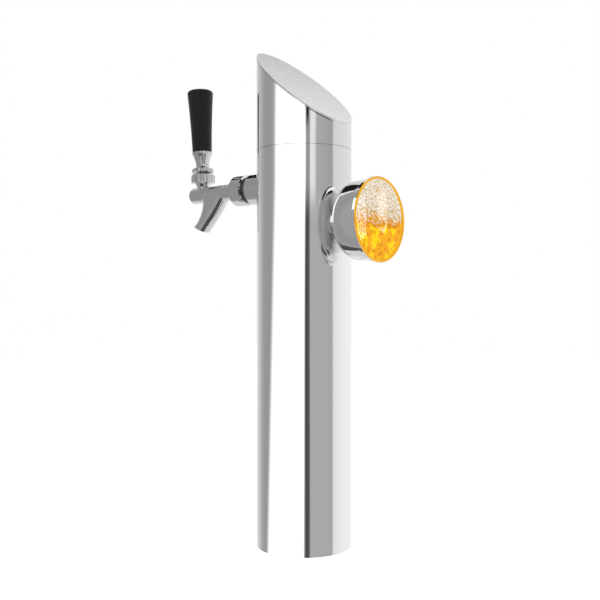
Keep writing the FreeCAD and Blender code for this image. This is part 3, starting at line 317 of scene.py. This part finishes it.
def far_light(name, reach, foot, head, strength, pieces, shape):
    """A light in a ring far out, between two elevations, turned on only for the named pieces.

    The shape takes the ring's shader tree, a bearing and an elevation, both in degrees, and gives
    the light's share there. Only the first reflection shows it, and the second where it is high.
    """
    low, high = (EYE_HEIGHT + reach * math.tan(math.radians(edge)) for edge in (foot, head))
    bpy.ops.mesh.primitive_cylinder_add(
        vertices=RING_LIGHT_SIDES, radius=reach, depth=high - low, end_fill_type="NOTHING",
        location=(0, 0, (low + high) / 2))
    band = bpy.context.object
    band.name = name
    glow = bpy.data.materials.new(name)
    glow.use_nodes = True
    tree = glow.node_tree
    tree.nodes.clear()
    at, height = bearing_of(tree, add(tree, "ShaderNodeNewGeometry").outputs["Position"])
    degrees = math_of(tree, "MULTIPLY_ADD", at, 360, -180)
    slope = math_of(tree, "DIVIDE", math_of(tree, "SUBTRACT", height, EYE_HEIGHT), reach)
    elevation = math_of(tree, "DEGREES", math_of(tree, "ARCTANGENT", slope))
    high_up = math_of(tree, "GREATER_THAN", elevation, TWO_BOUNCES_OVER)
    bounces = math_of(tree, "ADD", high_up, ONE_BOUNCE)
    bounced = add(tree, "ShaderNodeLightPath").outputs["Ray Depth"]
    early = math_of(tree, "LESS_THAN", bounced, bounces)
    share = product(tree, shape(tree, degrees, elevation), early)
    shine = add(tree, "ShaderNodeEmission", {"Strength": product(tree, share, strength)})
    clear = add(tree, "ShaderNodeBsdfTransparent")
    both = add(tree, "ShaderNodeAddShader", {0: shine.outputs[0], 1: clear.outputs[0]})
    add(tree, "ShaderNodeOutputMaterial", {"Surface": both.outputs[0]})
    band.data.materials.append(glow)
    lit_pieces = bpy.data.collections.new(name + "_pieces")
    for piece in pieces:
        lit_pieces.objects.link(nodes[piece])
    band.light_linking.receiver_collection = lit_pieces
    band.visible_camera = False
    band.visible_shadow = False
    band.visible_diffuse = False


# The tube light's edges in degrees, and how far each leans for a degree of elevation.
TUBE_LIGHT_LEFT = (-88, -72)
TUBE_LIGHT_RIGHT = (4.5, -1.5)
TUBE_LIGHT_FOOT = (-58, -26)
LEFT_LEAN = 0.85
LEFT_LEANS_FROM = -25
LEFT_LEANS_TO = 9
RIGHT_LEAN = 0.17
POINT_LEAN = 1.1
POINT_FROM = 12


def leaning_sides(tree, degrees, elevation):
    """A broad light, wider the lower it is, whose left side fades in slowly.

    High up its right side draws back, so that it ends in a point over its left side. Low down it
    fades out.
    """
    held = math_of(tree, "MAXIMUM", math_of(tree, "MINIMUM", elevation, LEFT_LEANS_TO), LEFT_LEANS_FROM)
    left = math_of(tree, "MULTIPLY_ADD", held, -LEFT_LEAN, degrees)
    over = math_of(tree, "MAXIMUM", math_of(tree, "SUBTRACT", elevation, POINT_FROM), 0)
    drawn_back = product(tree, over, POINT_LEAN)
    right = math_of(tree, "ADD", math_of(tree, "MULTIPLY_ADD", elevation, -RIGHT_LEAN, degrees), drawn_back)
    sides = product(tree, step_up(tree, left, *TUBE_LIGHT_LEFT), step_up(tree, right, *TUBE_LIGHT_RIGHT))
    return product(tree, sides, step_up(tree, elevation, *TUBE_LIGHT_FOOT))


far_light("tube_light", reach=5.0, foot=-60, head=60, strength=0.9,
          pieces=["column_tube", "cap_sleeve"], shape=leaning_sides)
dress(mirror_steel("mirror_steel")[0], "column_tube")

# ---- cap sleeve: the slant-cut end of the same tube ----
# Cut from the tube at a slant and buffed with it. A fine dark line of painted shade runs just under
# the slanted rim, darkest round the side that faces the camera.
CAP_SLOPE = math.tan(math.radians(40.6))
# Painted shade: the dark colour of the line under the rim, its band, and how dark it is round the tube.
SHADE_LINE_DARK = (0.02, 0.02, 0.022)
SHADE_LINE_TOP = (0.0001, 0.0004)
SHADE_LINE_FOOT = (0.0014, 0.0010)
SHADE_LINE_ROUND = [(0.0, 0.2), (0.11, 0.35), (0.125, 1), (0.19, 1), (0.215, 0), (0.97, 0)]
sleeve_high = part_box("cap_sleeve")[1]
sleeve, tree, shader, place = mirror_steel("mirror_steel_painted_shade")
spot = split(tree, place)
rim_height = math_of(tree, "MULTIPLY_ADD", spot["Y"], CAP_SLOPE,
                     sleeve_high.z - sleeve_high.y * CAP_SLOPE)
under_rim = math_of(tree, "SUBTRACT", rim_height, spot["Z"])
# The band of painted shade under the rim, darkened by how far round the tube it is.
line = between(tree, under_rim, SHADE_LINE_TOP, SHADE_LINE_FOOT)
shade_round = ramp(tree, turn_share(tree, spot), [(turn, grey(depth)) for turn, depth in SHADE_LINE_ROUND])
painted_shade_line = product(tree, line, shade_round)
feed(tree, shader, {"Base Color": blend_of(tree, painted_shade_line, MIRROR_STEEL, SHADE_LINE_DARK)})
dress(sleeve, "cap_sleeve")

# ---- cap plate: brushed stainless plate ----
# The flat oval that closes the slant, brushed along its length before it is welded in. Its colour
# holds painted light: darker at the high end and lighter at the low end, with a cloudy edge between.
# A light of its own keeps the black card overhead out of it.
PLATE_SHADED_END = grey(0.58)
PLATE_LIT_END = grey(0.90)
PLATE_CLOUDS = 0.012
satin, tree, shader, place = new_finish("brushed_steel", {"Metallic": 1.0})
plate_low, plate_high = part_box("cap_plate")
brushing = noise(tree, place, 2200.0, stretch=(1, 0.03, 0.03))
clouds = noise(tree, place, 170.0, stretch=(1, 0.6, 0.6), detail=4.0)
cloud = spread(tree, clouds, -PLATE_CLOUDS, PLATE_CLOUDS)
lengthwise = math_of(tree, "ADD", split(tree, place)["Y"], cloud)
# Painted light: the share of the lighter colour, growing from the plate's high end to its low end.
painted_light_share = step_up(tree, lengthwise, plate_high.y, plate_low.y, smooth=False)
feed(tree, shader, {
    "Base Color": blend_of(tree, painted_light_share, PLATE_SHADED_END, PLATE_LIT_END),
    "Roughness": spread(tree, brushing, 0.20, 0.30),
    "Normal": bump(tree, brushing, distance=0.00001, strength=0.3),
})
dress(satin, "cap_plate")


def patch(west, east, foot, head):
    """The shape of a light with four soft edges, each a pair: where it is dark, then full."""
    def shape(tree, degrees, elevation):
        return product(tree, between(tree, degrees, west, east), between(tree, elevation, foot, head))
    return shape


far_light("plate_light", reach=5.6, foot=12, head=82, strength=0.6, pieces=["cap_plate"],
          shape=patch(west=(-90, -50), east=(110, 70), foot=(15, 30), head=(82, 76)))

# ---- badge drum and rim: spun steel cup and its polished bezel ----
# Spun over a form and buffed, so fine rings run round the badge's axis. The back, which faces the
# column, is left dull. A small upright light glints on the rim's left.
SPUN_STEEL = (0.90, 0.90, 0.905)
DULL_BACK = 0.35
BACK_FADE = (0.0008, 0.0002)
drum_low, drum_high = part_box("badge_drum")
badge_height = (drum_low.z + drum_high.z) / 2
spun, tree, shader, place = new_finish("spun_steel", {"Base Color": SPUN_STEEL, "Metallic": 1.0})
spin_marks = noise(tree, place, 1500.0, stretch=(0.02, 1, 0.02))
at_back = step_up(tree, split(tree, place)["Y"], *(drum_high.y - inside for inside in BACK_FADE))
feed(tree, shader, {
    "Roughness": math_of(tree, "MULTIPLY_ADD", at_back, DULL_BACK, spread(tree, spin_marks, 0.03, 0.07)),
    "Normal": bump(tree, noise(tree, place, 14.0, stretch=(1, 0.3, 1), detail=1.0), distance=0.0005),
})
dress(spun, "badge_drum", "badge_bezel")
far_light("rim_light", reach=4.8, foot=16, head=48, strength=0.9, pieces=["badge_bezel"],
          shape=patch(west=(-95, -92), east=(-75, -78), foot=(20, 23), head=(46, 43)))

# ---- chromed brass: the faucet's castings and turned nuts ----
# Cast or turned, polished and plated. Plating keeps the polish's soft waves. The coupling nut
# draws the faucet's body onto the shank, and the hollow neck carries the badge.
CHROME = (0.80, 0.80, 0.81)
chrome, tree, shader, place = new_finish("chrome_plate", {"Base Color": CHROME, "Metallic": 1.0})
feed(tree, shader, {
    "Roughness": spread(tree, noise(tree, place, 700.0), 0.04, 0.09),
    "Normal": bump(tree, noise(tree, place, 60.0), distance=0.00025),
})
dress(chrome, "shank", "shank_flange", "coupling_nut", "faucet_body", "badge_neck", "badge_spacer")

# ---- bonnet, lever collar and ferrule: chromed brass, softly polished ----
# Turned, fluted for the fingers and plated. The flutes can't be buffed as bright as the castings.
# The bonnet screws down over the lever's ball, and the collar and ferrule sit on its stem.
SOFT_CHROME = (0.72, 0.72, 0.73)
fluted, tree, shader, place = new_finish("soft_chrome", {"Base Color": SOFT_CHROME, "Metallic": 1.0})
feed(tree, shader, {
    "Roughness": spread(tree, noise(tree, place, 500.0), 0.13, 0.22),
    "Normal": bump(tree, noise(tree, place, 120.0), distance=0.0002),
})
dress(fluted, "bonnet", "lever_collar", "handle_ferrule")

# ---- plain steel: lines, ring, valve rod, lever and screws ----
# Turned or drawn and left as machined, so fine tool marks show. Most of it is inside, where only
# the opened cap and the tilted lever show it.
PLAIN_STEEL = (0.62, 0.62, 0.63)
machined, tree, shader, place = new_finish("machined_steel", {"Base Color": PLAIN_STEEL, "Metallic": 1.0})
tool_marks = noise(tree, place, 1200.0, stretch=(0.1, 0.1, 1))
feed(tree, shader, {
    "Roughness": spread(tree, tool_marks, 0.18, 0.34),
    "Normal": bump(tree, tool_marks, distance=0.00002, strength=0.5),
})
dress(machined, "base_ring", "beer_line", "tailpiece", "faucet_shaft", "lever", "board_screws")

# ---- brass: nuts, the handle's insert and the board's pillars ----
# Turned from bar, chamfered, and dulled a little by handling. The nuts clamp what passes through
# the column's wall, and the insert takes the lever's thread.
DULL_BRASS = (0.55, 0.35, 0.12)
BRIGHT_BRASS = (0.80, 0.56, 0.23)
brass, tree, shader, place = new_finish("bare_brass", {"Metallic": 1.0})
handled = noise(tree, place, 90.0, detail=5.0)
feed(tree, shader, {
    "Base Color": ramp(tree, handled, [(0.3, DULL_BRASS), (0.7, BRIGHT_BRASS)]),
    "Roughness": spread(tree, handled, 0.38, 0.22),
    "Normal": bump(tree, noise(tree, place, 1500.0), distance=0.00002, strength=0.4),
})
dress(brass, "shank_nut", "tail_nut", "shaft_nut", "handle_insert", "badge_nut", "board_standoffs")

# ---- rubber: seals and gaskets ----
# Moulded black rubber with a dusty bloom, squeezed between the pieces that it seals or lying in
# their grooves.
CLEAN_RUBBER = (0.012, 0.012, 0.012)
DUSTY_RUBBER = (0.045, 0.045, 0.043)
rubber, tree, shader, place = new_finish("black_rubber", {})
bloom = noise(tree, place, 250.0, detail=6.0)
feed(tree, shader, {
    "Base Color": ramp(tree, bloom, [(0.35, CLEAN_RUBBER), (0.75, DUSTY_RUBBER)]),
    "Roughness": spread(tree, bloom, 0.55, 0.8),
    "Normal": bump(tree, bloom, distance=0.00005, strength=0.5),
})
dress(rubber, "base_seal", "cap_o_ring", "tail_gasket", "faucet_gasket", "seat_washer")

# ---- flange gasket: the dark ring between the sleeve and the coupling nut ----
# Black rubber moulded in a polished die, so it keeps a gloss, with faint flow lines round it.
GLOSSY_RUBBER = (0.022, 0.022, 0.022)
FLOW_LINE = (0.05, 0.05, 0.05)
glossy, tree, shader, place = new_finish("polished_rubber", {})
flow_lines = noise(tree, place, 300.0, stretch=(1, 0.1, 1), detail=3.0)
feed(tree, shader, {
    "Base Color": ramp(tree, flow_lines, [(0.3, GLOSSY_RUBBER), (0.7, FLOW_LINE)]),
    "Roughness": spread(tree, flow_lines, 0.14, 0.28),
})
dress(glossy, "flange_gasket")

# ---- dark plastic: the cap's spigot and the shaped washers ----
# Moulded from glass-filled nylon, with a matt, slightly grainy skin. The spigot drops into the
# column, and the washers fit the curve of its wall.
DARK_NYLON = (0.035, 0.035, 0.036)
NYLON_GRAIN = (0.06, 0.06, 0.06)
nylon, tree, shader, place = new_finish("dark_nylon", {})
skin = noise(tree, place, 1800.0, detail=4.0)
feed(tree, shader, {
    "Base Color": ramp(tree, skin, [(0.3, DARK_NYLON), (0.7, NYLON_GRAIN)]),
    "Roughness": spread(tree, skin, 0.48, 0.62),
    "Normal": bump(tree, skin, distance=0.00004, strength=0.5),
})
dress(nylon, "cap_spigot", "shank_washer", "badge_washer")

# ---- handle: black tapered grip ----
# Turned from black phenolic and polished to a soft gloss. It screws onto the lever over its
# ferrule.
BLACK_PHENOLIC = (0.006, 0.006, 0.0065)
PHENOLIC_HAZE = (0.011, 0.011, 0.0115)
grip, tree, shader, place = new_finish("black_phenolic", {"Specular IOR Level": 0.3})
haze = noise(tree, place, 900.0, stretch=(1, 1, 0.05))
feed(tree, shader, {
    "Base Color": ramp(tree, haze, [(0.3, BLACK_PHENOLIC), (0.75, PHENOLIC_HAZE)]),
    "Roughness": spread(tree, haze, 0.32, 0.40),
})
dress(grip, "handle")

# ---- white plastic: the lamps' cone and the ball's washer ----
# Moulded white plastic with faint flow marks. The cone throws the lamps' light on the face, and
# the washer keeps the lever's ball in its seat.
FLOW_MARK = (0.78, 0.78, 0.75)
WHITE_MOULDING = (0.88, 0.88, 0.86)
moulded, tree, shader, place = new_finish("white_moulding", {})
flow_marks = noise(tree, place, 120.0, stretch=(1, 1, 0.3), detail=4.0)
feed(tree, shader, {
    "Base Color": ramp(tree, flow_marks, [(0.3, FLOW_MARK), (0.7, WHITE_MOULDING)]),
    "Roughness": spread(tree, flow_marks, 0.38, 0.52),
})
dress(moulded, "light_spacer", "ball_washer")

# ---- foam core: poured insulation ----
# Rigid cream foam poured round the beer line, with open cells where it was cut. The cells' darker
# middles are painted shade.
SHADED_PORE = (0.55, 0.47, 0.28)
CREAM_FOAM = (0.83, 0.75, 0.53)
foam, tree, shader, place = new_finish("poured_foam", {"Roughness": 0.9})
pores = add(tree, "ShaderNodeTexVoronoi", {"Vector": place, "Scale": 450.0}).outputs["Distance"]
feed(tree, shader, {
    # Painted shade: each pore darkens towards its middle, where the bump sinks deepest.
    "Base Color": ramp(tree, pores, [(0.0, SHADED_PORE), (0.4, CREAM_FOAM)]),
    "Normal": bump(tree, pores, distance=0.0006, strength=0.7),
})
dress(foam, "foam_core")

# ---- badge face: foam over amber, lit from behind ----
# A translucent disc printed with a head of foam over amber beer. The lamps behind make it glow.
# Levels are in metres over the wandering line between beer and foam, and cells so many a metre.
HEAD_LEVEL = -0.003
HEAD_WANDER = 0.004
HEAD_BLUR = 0.0006
FOAM_PALE = (0.84, 0.78, 0.67)
FOAM_TAN = (0.60, 0.45, 0.24)
FOAM_LOW = (0.74, 0.34, 0.03)
FOAM_LOW_UNDER = (0.012, 0.001)
FOAM_CELLS = 400.0
FOAM_WALL = (0.26, 0.40)
FOAM_CELLS_OPEN = 0.30
FOAM_CELLS_OPEN_UNDER = (0.020, -0.003)
TAN_BUBBLE = (0.70, 0.50, 0.25)
TAN_BUBBLES = 85.0
TAN_BUBBLE_EDGE = (0.34, 0.24)
TAN_BUBBLE_INK = 0.8
AMBER = (0.93, 0.47, 0.015)
YELLOW = (1.0, 0.72, 0.008)
YELLOW_OVER = (0.515, 0.53)
BUBBLE_RIM = (0.66, 0.22, 0.006)
SPECKS = 650.0
SPECK_EDGE = (0.34, 0.16)
SPECK_INK = 0.45
BEER_BUBBLES = 165.0
BEER_BUBBLE_INSIDE = (0.12, 0.20)
BEER_BUBBLE_OUTSIDE = (0.38, 0.30)
BEER_BUBBLE_INK = 0.9
RUST = (0.68, 0.24, 0.012)
RUST_LEVEL = (-0.005, -0.001)
RUST_OVER = (0.36, 0.52)
PRINT_EDGE = (0.84, 0.80, 0.76)
PRINT_EDGE_WIDTH = 0.0008
PRINT_EDGE_BLUR = 0.0002
PRINT_EDGE_LEVEL = (-0.003, 0.003)
BLACK = (0, 0, 0)
UNLIT_DARKNESS = 0.8
LAMPLIGHT = 0.88
face, tree, shader, place = new_finish("foam_over_amber", {"Roughness": 0.35, "Specular IOR Level": 0.2})
from_axis = add(tree, "ShaderNodeVectorMath", {0: place, 1: (0, 0, badge_height)},
                operation="SUBTRACT").outputs[0]
across = add(tree, "ShaderNodeVectorMath", {0: from_axis, 1: (1, 0, 1)},
             operation="MULTIPLY").outputs[0]
upright = split(tree, across)
flat = add(tree, "ShaderNodeCombineXYZ", {0: upright["X"], 1: upright["Z"]}).outputs[0]


def cells(scale):
    """Flat cells on the face, so many to a metre."""
    return add(tree, "ShaderNodeTexVoronoi", {"Vector": flat, "Scale": scale},
               voronoi_dimensions="2D").outputs


def in_some(share, made, over):
    """The share, only in the cells whose random number is over the limit."""
    chance = add(tree, "ShaderNodeSeparateColor", {0: made["Color"]}).outputs[0]
    return product(tree, share, math_of(tree, "GREATER_THAN", chance, over))


wander = spread(tree, noise(tree, across, 55.0, detail=4.0), -HEAD_WANDER, HEAD_WANDER)
level = math_of(tree, "SUBTRACT", math_of(tree, "ADD", upright["Z"], wander), HEAD_LEVEL)
# Foam: pale walls round tan cells, deeper in colour towards the beer, with some larger bubbles.
uneven = spread(tree, noise(tree, across, 110.0, detail=3.0), -HEAD_WANDER, HEAD_WANDER)
patchy = math_of(tree, "ADD", level, uneven)
inside = blend_of(tree, step_up(tree, patchy, *FOAM_LOW_UNDER), FOAM_TAN, FOAM_LOW)
opening = product(tree, step_up(tree, patchy, *FOAM_CELLS_OPEN_UNDER), -FOAM_CELLS_OPEN)
to_wall = math_of(tree, "ADD", cells(FOAM_CELLS)["Distance"], opening)
head_look = blend_of(tree, step_up(tree, to_wall, *FOAM_WALL), inside, FOAM_PALE)
large = cells(TAN_BUBBLES)
tan = in_some(step_up(tree, large["Distance"], *TAN_BUBBLE_EDGE), large, over=0.72)
head_look = blend_of(tree, product(tree, tan, TAN_BUBBLE_INK), head_look, TAN_BUBBLE)
# Beer: amber with yellow patches where the light comes through, and small rising bubbles.
glint = step_up(tree, noise(tree, across, 75.0, detail=6.0), *YELLOW_OVER)
beer = blend_of(tree, glint, AMBER, YELLOW)
speck = step_up(tree, cells(SPECKS)["Distance"], *SPECK_EDGE)
beer = blend_of(tree, product(tree, speck, SPECK_INK), beer, BUBBLE_RIM)
small = cells(BEER_BUBBLES)
bubble = between(tree, small["Distance"], BEER_BUBBLE_INSIDE, BEER_BUBBLE_OUTSIDE)
bubble = in_some(bubble, small, over=0.55)
beer = blend_of(tree, product(tree, bubble, BEER_BUBBLE_INK), beer, BUBBLE_RIM)
rusty = product(tree, step_up(tree, level, *RUST_LEVEL),
                step_up(tree, noise(tree, across, 230.0, detail=3.0), *RUST_OVER))
beer = blend_of(tree, rusty, beer, RUST)
picture = blend_of(tree, step_up(tree, level, -HEAD_BLUR, HEAD_BLUR), beer, head_look)
# The print stops short of the foam's edge and leaves a thin pale rim there.
face_low, face_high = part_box("badge_print")
print_radius = (face_high.x - face_low.x) / 2 - PRINT_EDGE_WIDTH
from_middle = add(tree, "ShaderNodeVectorMath", {0: across}, operation="LENGTH").outputs["Value"]
unprinted = step_up(tree, from_middle, print_radius - PRINT_EDGE_BLUR, print_radius + PRINT_EDGE_BLUR)
unprinted = product(tree, unprinted, step_up(tree, level, *PRINT_EDGE_LEVEL))
picture = blend_of(tree, unprinted, picture, PRINT_EDGE)
feed(tree, shader, {
    "Base Color": blend_of(tree, UNLIT_DARKNESS, picture, BLACK),
    "Emission Color": picture, "Emission Strength": LAMPLIGHT,
})
dress(face, "badge_print")

# ---- light ring: amber acrylic ----
# A ring of clear amber acrylic that carries the lamps' light to the edge of the face.
DEEP_AMBER = (0.78, 0.37, 0.010)
CLEAR_AMBER = (0.84, 0.43, 0.014)
ring, tree, shader, place = new_finish("amber_acrylic", {"Roughness": 0.25, "Specular IOR Level": 0.3})
amber_edge = ramp(tree, noise(tree, place, 60.0), [(0.3, DEEP_AMBER), (0.7, CLEAR_AMBER)])
feed(tree, shader, {
    "Base Color": blend_of(tree, UNLIT_DARKNESS, amber_edge, BLACK),
    "Emission Color": amber_edge, "Emission Strength": LAMPLIGHT,
})
dress(ring, "light_ring")

# ---- lens: clear acrylic window ----
# A polished acrylic window with a slight dome over the face. Two tall windows of a room show in
# its gloss.
window, tree, shader, place = new_finish("clear_acrylic", {
    "Base Color": WHITE, "Transmission Weight": 1.0, "IOR": 1.15,
})
wipes = noise(tree, place, 150.0, stretch=(1, 1, 0.2), detail=3.0)
feed(tree, shader, {"Roughness": spread(tree, wipes, 0.0, 0.012)})
dress(window, "badge_lens")
WINDOW_EDGE = (1.1, 0.9)
WINDOW_HEAD_LIGHT = 0.35


def tall_window(west, east, foot, head):
    """The shape of a tall light with round ends, dimmer towards its head."""
    middle, half_width = (west + east) / 2, (east - west) / 2
    centre, half_height = (foot + head) / 2, (head - foot) / 2

    def shape(tree, degrees, elevation):
        aside = math_of(tree, "DIVIDE", math_of(tree, "SUBTRACT", degrees, middle), half_width)
        off = math_of(tree, "ABSOLUTE", math_of(tree, "SUBTRACT", elevation, centre))
        past = math_of(tree, "MAXIMUM", math_of(tree, "SUBTRACT", off, half_height - half_width), 0)
        past = math_of(tree, "DIVIDE", past, half_width)
        gap = math_of(tree, "ADD", math_of(tree, "POWER", aside, 2), math_of(tree, "POWER", past, 2))
        dimmer = add(tree, "ShaderNodeMapRange", {
            "Value": elevation, "From Min": foot, "From Max": head,
            "To Min": 1.0, "To Max": WINDOW_HEAD_LIGHT,
        }).outputs[0]
        return product(tree, step_up(tree, gap, *WINDOW_EDGE), dimmer)
    return shape


far_light("left_window", reach=5.2, foot=0, head=14, strength=19, pieces=["badge_lens"],
          shape=tall_window(west=99.25, east=101.0, foot=3.6, head=9.2))
far_light("right_window", reach=5.4, foot=0, head=14, strength=16, pieces=["badge_lens"],
          shape=tall_window(west=103.65, east=105.55, foot=4.5, head=10.0))

# ---- circuit board and its lamps ----
# Green glass-fibre board with copper tracks under its mask, and square white lamps soldered on.
COPPER_UNDER_MASK = (0.05, 0.30, 0.11)
GREEN_MASK = (0.02, 0.16, 0.05)
board, tree, shader, place = new_finish("green_board", {"Roughness": 0.35})
tracks = add(tree, "ShaderNodeTexVoronoi", {"Vector": place, "Scale": 130.0},
             feature="DISTANCE_TO_EDGE").outputs["Distance"]
feed(tree, shader, {
    "Base Color": ramp(tree, tracks, [(0.05, COPPER_UNDER_MASK), (0.09, GREEN_MASK)]),
})
dress(board, "led_board")
PHOSPHOR = (0.93, 0.80, 0.30)
PALE_PHOSPHOR = (0.97, 0.93, 0.72)
lamp, tree, shader, place = new_finish("lamp_window", {"Roughness": 0.3})
phosphor = noise(tree, place, 900.0)
feed(tree, shader, {
    "Base Color": ramp(tree, phosphor, [(0.35, PHOSPHOR), (0.65, PALE_PHOSPHOR)]),
})
dress(lamp, "lamps")
